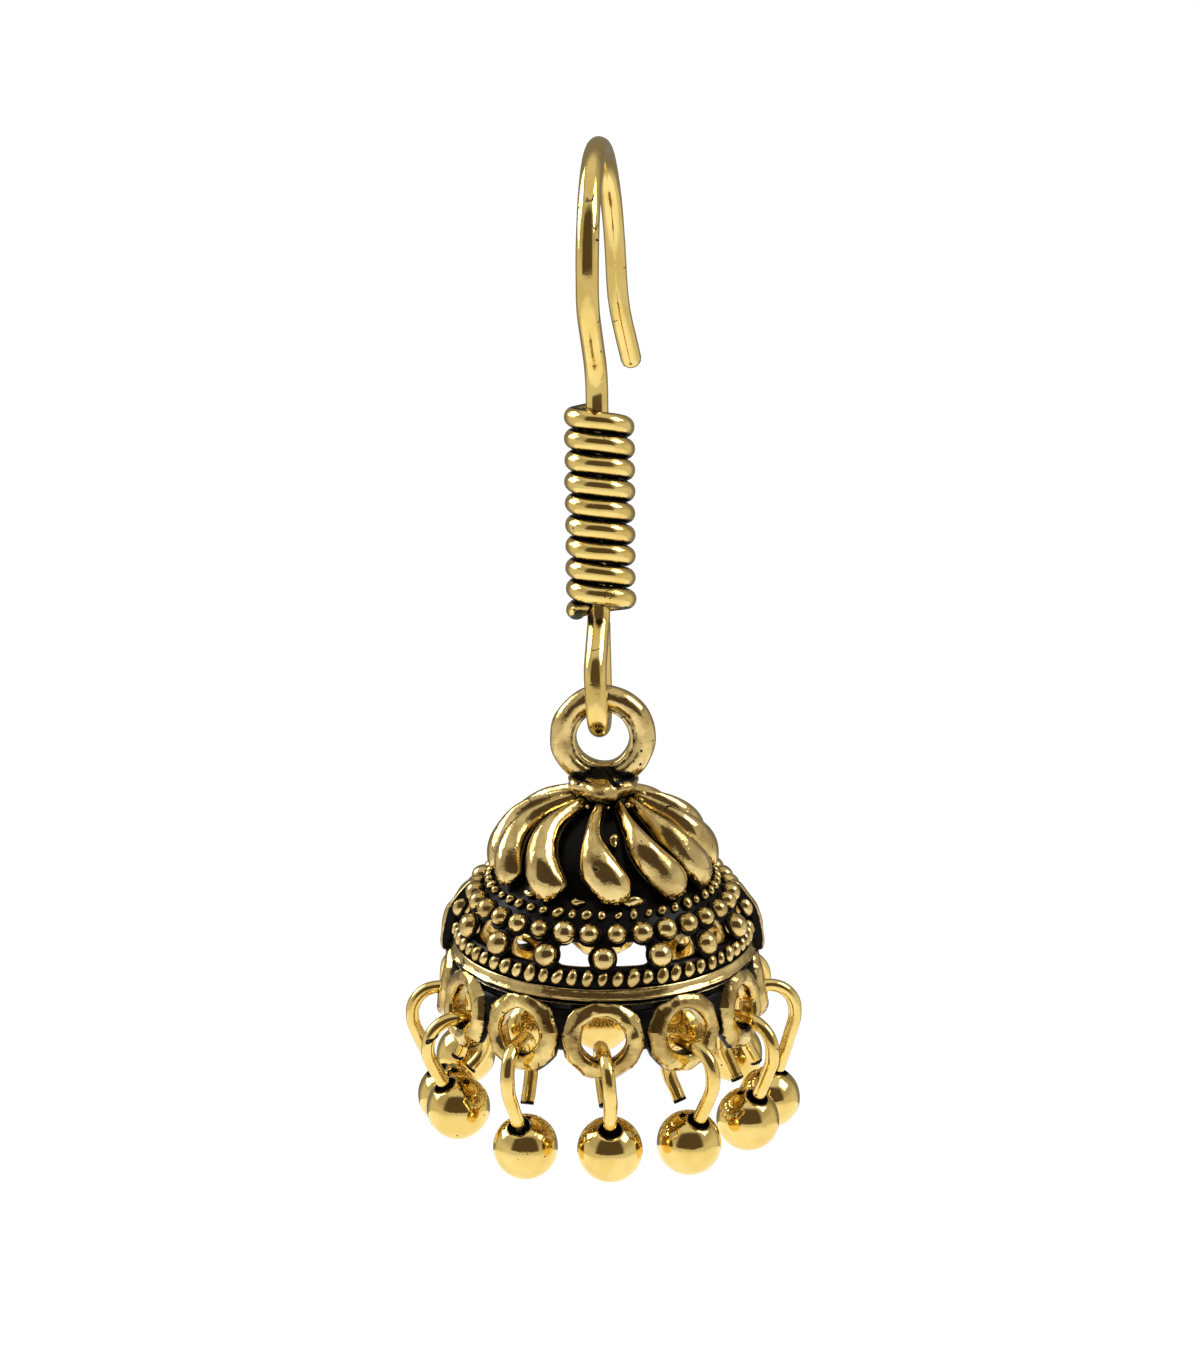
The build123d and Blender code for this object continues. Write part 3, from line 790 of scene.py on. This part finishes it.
# %% The rim band
RIM_STEPS = 128
rim_band = [(6.85, 1.46), (7.00, 1.45), (7.07, 1.42), (7.10, 1.36), (7.11, 1.32), (7.19, 1.06),
            (7.23, 1.04), (7.26, 0.99), (7.24, 0.94), (7.16, 0.91), (7.10, 0.86), (7.16, 0.80),
            (7.20, 0.75), (7.16, 0.70), (7.08, 0.62), (7.08, 0.40), (7.06, 0.14), (6.86, 0.10),
            (6.82, 0.60)]
RIM_FOOT = 0.66             # below this the rim is hidden behind the hoops and stays black
GROOVE_TOP = 0.91
GROOVE_FOOT = 0.80
bm, patina = new_mesh()
spin_profile(bm, rim_band, RIM_STEPS)
weld(bm)
for vert in bm.verts:
    reach = hypot(vert.co.x, vert.co.y)
    in_groove = GROOVE_FOOT - 0.01 < vert.co.z < GROOVE_TOP + 0.01 and reach < 7.17
    vert[patina] = 1.0 if in_groove or reach < 7.0 or vert.co.z < RIM_FOOT else 0.15
hand_made(bm, 0.05, 0.7)
finish_piece("bell_rim", bm, CAST_FINISH, "drop", base=bell_base, sharp=50)

# %% [markdown]
# ## Hoops and web
#
# Twelve hoops stand side by side under the rim and hold the drops. Each was filed by hand, so its outer
# edge has flat facets that catch the light one by one. A spin makes the hoop round, its outer rings
# are pulled in to a rounded ten-sided outline, and only the edges where two facets meet stay sharp.

# %% Twelve filed hoops
HOOPS = 12
HOOP_AT = (7.2, -0.85)
HOOP_LEAN = 10.0
FACETS = 10
FILED_FROM = 1.3            # the hoop is round inside this radius and filed outside it
FILED_GROW = 1.025          # so that the facets' corners reach the hoop's full size
hoop_section = [(0.99, -0.10), (0.98, 0.18), (1.02, 0.34), (1.11, 0.43), (1.25, 0.47), (1.48, 0.45),
                (1.68, 0.34), (1.84, 0.16), (1.92, -0.04), (1.92, -0.24), (1.76, -0.42), (1.1, -0.46),
                (1.0, -0.34)]
bm, patina = new_mesh()
for number in range(HOOPS):
    part = bmesh.new()
    part_patina = part.verts.layers.float.new("patina")
    spin_profile(part, hoop_section, 40)
    bmesh.ops.remove_doubles(part, verts=part.verts, dist=0.002)
    phase = 1.7 * noise.noise(Vector((number * 2.3, 4.4, 0.7)))
    for vert in part.verts:
        reach = hypot(vert.co.x, vert.co.y)
        if reach > FILED_FROM:
            facet = 2 * pi / FACETS
            turn = (atan2(vert.co.y, vert.co.x) + phase) % facet
            share = cos(facet / 2) / cos(turn - facet / 2)
            vert.co.xy *= share * FILED_GROW
        vert[part_patina] = 0.85 if reach > 1.7 and -0.3 < vert.co.z < 0.1 else 0.0
    bmesh.ops.recalc_face_normals(part, faces=part.faces)
    for edge in part.edges:
        first, second = (vert.co.xy for vert in edge.verts)
        edge.smooth = first.angle(second) > radians(2) or edge.calc_face_angle(0) < radians(12)
    hung = facing(*HOOP_AT, number * 360 / HOOPS, HOOP_LEAN)
    bmesh.ops.transform(part, matrix=hung, verts=part.verts)
    holder = bpy.data.meshes.new("hoop")
    part.to_mesh(holder)
    part.free()
    bm.from_mesh(holder)
    bpy.data.meshes.remove(holder)
hand_made(bm, 0.07, 0.7)
finish_piece("bell_hoops", bm, HOOP_FINISH, "drop", base=bell_base)

# %% [markdown]
# Between two hoops the casting is closed by a thin web, black outside and bright inside. Each web is
# an upright strip that is spun a few degrees from one hoop to the next.

# %% The web between the hoops
WEB_SPAN = 12.0             # degrees
WEB_OUTSIDE = 7.21          # its outer face lies beyond this radius
web_outline = [(6.9, 0.5), (7.22, 0.5), (7.42, -0.4), (7.5, -1.45), (7.2, -1.5), (7.05, -0.4)]
bm, patina = new_mesh()
strip = [bm.verts.new(spot(radius, height, 180 / HOOPS - WEB_SPAN / 2)) for radius, height in web_outline]
bmesh.ops.spin(bm, geom=[bm.faces.new(strip)], cent=(0, 0, 0), axis=(0, 0, 1), angle=radians(WEB_SPAN),
               steps=5, use_merge=False)
everywhere(bm, HOOPS)
weld(bm)
for vert in bm.verts:
    vert[patina] = 1.0 if hypot(vert.co.x, vert.co.y) > WEB_OUTSIDE else 0.0
hand_made(bm, 0.08, 0.5)
finish_piece("bell_web", bm, CAST_FINISH, "drop", base=bell_base, smooth=1)

# %% [markdown]
# ## Top ring and knob
#
# The ring that hangs in the hook's eye stands across the front. Its bar is round outside and has a
# thin lip round the hole. A black neck joins it to the knob. The knob is a squashed ball, and wax was
# dabbed on it in lumps: each lump pushes the vertices near it outwards.

# %% The top ring
RING_HEIGHT = 11.1
RING_GROOVE = 1.48          # between the lip and the round bar
ring_section = [(1.22, -0.22), (1.22, 0.22), (1.26, 0.36), (1.33, 0.43), (1.41, 0.42), (1.48, 0.39),
                (1.56, 0.48), (1.70, 0.60), (1.87, 0.63), (2.05, 0.59), (2.22, 0.49), (2.36, 0.35),
                (2.44, 0.18), (2.47, 0.0), (2.44, -0.18), (2.36, -0.35), (2.22, -0.49), (2.05, -0.59),
                (1.87, -0.63), (1.70, -0.60), (1.56, -0.48), (1.48, -0.39), (1.41, -0.42),
                (1.33, -0.43), (1.26, -0.36)]
bm, patina = new_mesh()
spin_profile(bm, ring_section, 72)
weld(bm)
for vert in bm.verts:
    low = min(1, max(0, (-1.36 - vert.co.y) * 4.0))
    in_groove = abs(hypot(vert.co.x, vert.co.y) - RING_GROOVE) < 0.08
    vert[patina] = max(low * min(1, max(0, (1.55 - abs(vert.co.x)) * 3.0)), 0.42 if in_groove else 0.0)
bmesh.ops.transform(bm, matrix=facing(0, RING_HEIGHT, 0, 0), verts=bm.verts)
hand_made(bm, 0.06, 1.1)
finish_piece("bell_ring", bm, RING_FINISH, "drop", base=bell_base)

# %% The knob and its neck
knob_lumps = [
    # height, azimuth, how far it stands out, its size
    (8.74, -4, 0.42, 0.85),
    (8.95, -62, 0.16, 0.45),
    (8.98, 52, 0.22, 0.42),
    (8.90, 112, 0.20, 0.50),
    (8.90, -120, 0.20, 0.50),
    (8.92, 180, 0.28, 0.60),
    (8.52, 22, 0.14, 0.22),
    (9.20, -36, 0.12, 0.28),
    (8.50, -44, 0.12, 0.22),
]
KNOB_RADIUS = 1.60
KNOB_HALF = 0.80            # half the knob's height
KNOB_HEIGHT = 8.84
neck_outline = [(0.0, 9.10), (1.56, 9.10), (1.40, 9.26), (1.16, 9.40), (0.94, 9.54), (0.76, 9.66),
                (0.56, 9.74), (0.0, 9.76)]
bm, patina = new_mesh()
spin_profile(bm, neck_outline, 48)
for vert in bm.verts:
    vert[patina] = 1.0
ball = bmesh.ops.create_uvsphere(bm, u_segments=72, v_segments=36, radius=1.0,
                                 matrix=Matrix.Translation((0, 0, KNOB_HEIGHT))
                                 @ Matrix.Diagonal((KNOB_RADIUS, KNOB_RADIUS, KNOB_HALF, 1)))["verts"]
for vert in ball:
    away = (vert.co - Vector((0, 0, KNOB_HEIGHT))).normalized()
    for height, azimuth, rise, size in knob_lumps:
        apart = (vert.co - spot(KNOB_RADIUS, height, azimuth)).length / size
        vert.co += away * rise * max(0.0, 1 - apart * apart) ** 2
    vert[patina] = min(1, max(0, (vert.co.z - 9.42) * 5)) + min(1, max(0, (8.25 - vert.co.z) * 5))
weld(bm)
hand_made(bm, 0.10, 0.42)
finish_piece("bell_knob", bm, CAST_FINISH, "drop", base=bell_base)

# %% [markdown]
# ## Drops
#
# Each drop is a wire and a ball. The wire is bent to a long loop through its hoop: one leg goes down
# into the ball and the other is cut short behind it. The balls were strung by hand, so each hangs at
# its own angle and length. The table holds those habits, the same as in the CAD model.

# %% How each drop hangs
DROP_WIRE = 0.65
BALL = 3.0
HOLE = 0.48                 # radius of the ball's countersunk hole
HOOP_HOLE = 1.03            # the CAD model's hoop, which says where each drop hangs
HOOP_OUTER = 1.8
DROP_SEAT = 0.20            # play between the wire and the hoop it hangs in
LOOP_BACK = -1.15           # the loop's two sides, inwards and outwards from the hoop's foot
LOOP_FRONT = 1.7
LOOP_SHOULDER = -1.4        # where the long leg turns in to its ball
LOOP_KNEE = -1.5            # where the short leg turns in
SHORT_LEG = (-0.35, 1.85)   # the short leg's cut end: aside, and above the ball's middle
WIRE_END = 0.6              # the wire stops this far short of the ball's middle
BALL_OUT = 0.15             # the ball's middle, outside the hoop it hangs in
drop_hang = [
    # swing out, swing aside, twist, length
    (2.0, 4.0, 8.0, 4.35),
    (1.5, 0.6, 14.0, 4.55),
    (2.0, 1.8, -10.0, 4.75),
    (5.0, -1.0, 5.0, 5.40),
    (0.0, 2.0, -12.0, 4.80),
    (-2.0, -2.0, 10.0, 4.60),
    (2.0, 1.0, -6.0, 4.90),
    (-1.0, -2.0, 14.0, 4.50),
    (3.0, 1.0, -9.0, 4.90),
    (-1.5, 1.0, 6.0, 5.20),
    (2.0, -1.0, -8.0, 4.15),
    (-1.0, 3.0, 10.0, 4.75),
]
rim_reach = (HOOP_HOLE + HOOP_OUTER) / 2
drop_radius = HOOP_AT[0] + rim_reach * sin(radians(HOOP_LEAN))
drop_height = HOOP_AT[1] - HOOP_HOLE * cos(radians(HOOP_LEAN)) + DROP_SEAT


def drop_place(azimuth, swing_out, swing_aside, twist):
    """Matrix of one drop's loop: x away from the bell, y up the drop."""
    a = radians(azimuth)
    outward = Vector((sin(a), -cos(a), 0))
    aside = Vector((cos(a), sin(a), 0))
    hang = outward * tan(radians(swing_out)) + aside * tan(radians(swing_aside)) - Vector((0, 0, 1))
    hang.normalize()
    x_axis = outward * cos(radians(twist)) + aside * sin(radians(twist))
    x_axis = (x_axis - hang * x_axis.dot(hang)).normalized()
    return axes_at(x_axis, -hang, hang.cross(x_axis), spot(drop_radius, drop_height, azimuth))


# %% The outline of a ball
BALL_RADIUS = BALL / 2 - 0.02
BALL_STEPS = 22
mouth = (BALL_RADIUS ** 2 - HOLE ** 2) ** 0.5       # how high the hole opens
first_angle = atan2(mouth, HOLE)
ball_outline = [(HOLE * 0.85, 0.55), (HOLE * 0.85, mouth - 0.12), (HOLE, mouth - 0.01)]
for count in range(BALL_STEPS + 1):
    angle = first_angle - (first_angle + pi / 2) * count / BALL_STEPS
    ball_outline.append((max(0.0, BALL_RADIUS * cos(angle)), BALL_RADIUS * sin(angle)))
ball_outline.append((0.0, 0.5))
print("ball outline", len(ball_outline), "points")

# %% Wires and balls
for number, (swing_out, swing_aside, twist, length) in enumerate(drop_hang, start=1):
    place = drop_place((number - 1) * 360 / HOOPS, swing_out, swing_aside, twist)
    middle = Vector((BALL_OUT, -length, 0))
    shoulder = Vector((LOOP_FRONT, LOOP_SHOULDER, 0))
    leg = (shoulder - middle).normalized()
    loop_corners = [
        (Vector((SHORT_LEG[0], SHORT_LEG[1] - length, 0)), None),
        (Vector((LOOP_BACK, LOOP_KNEE, 0)), 1.4),
        (Vector((LOOP_BACK, DROP_WIRE / 2, 0)), 0.9),
        (Vector((LOOP_FRONT, DROP_WIRE / 2, 0)), 1.25),
        (shoulder, 1.4),
        (middle + leg * WIRE_END, None),
    ]
    bm, patina = new_mesh()
    cut_end, ball_end = bend_wire(bm, loop_corners, DROP_WIRE / 2 - 0.01, sides=18, run_step=0.35)
    for edge in cut_end:
        for vert in edge.verts:
            vert[patina] = 1.0
    close_end(bm, cut_end, 0.04)
    close_end(bm, ball_end, 0.04)
    weld(bm)
    bmesh.ops.transform(bm, matrix=place, verts=bm.verts)
    hand_made(bm, 0.03, 0.9)
    finish_piece(f"loop_{number:02d}", bm, WIRE_FINISH, "drop", base=bell_base,
                 replaces=f"drop_wire_{number:02d}")

    bm, patina = new_mesh()
    spin_profile(bm, ball_outline, 44)
    weld(bm)
    for vert in bm.verts:
        reach = hypot(vert.co.x, vert.co.y)
        if vert.co.z > 0 and abs(reach - HOLE) < 0.02:
            vert[patina] = 0.75
        elif vert.co.z > 0 and reach < HOLE * 0.95:
            vert[patina] = 1.0
    hand_made(bm, 0.02, 1.2)
    leg_up = place.to_3x3() @ leg
    swivel = leg_up.to_track_quat("Z", "Y").to_matrix().to_4x4()
    bmesh.ops.transform(bm, matrix=Matrix.Translation(place @ middle) @ swivel, verts=bm.verts)
    finish_piece(f"ball_{number:02d}", bm, BALL_FINISH, "drop", base=bell_base,
                 replaces=f"drop_ball_{number:02d}")
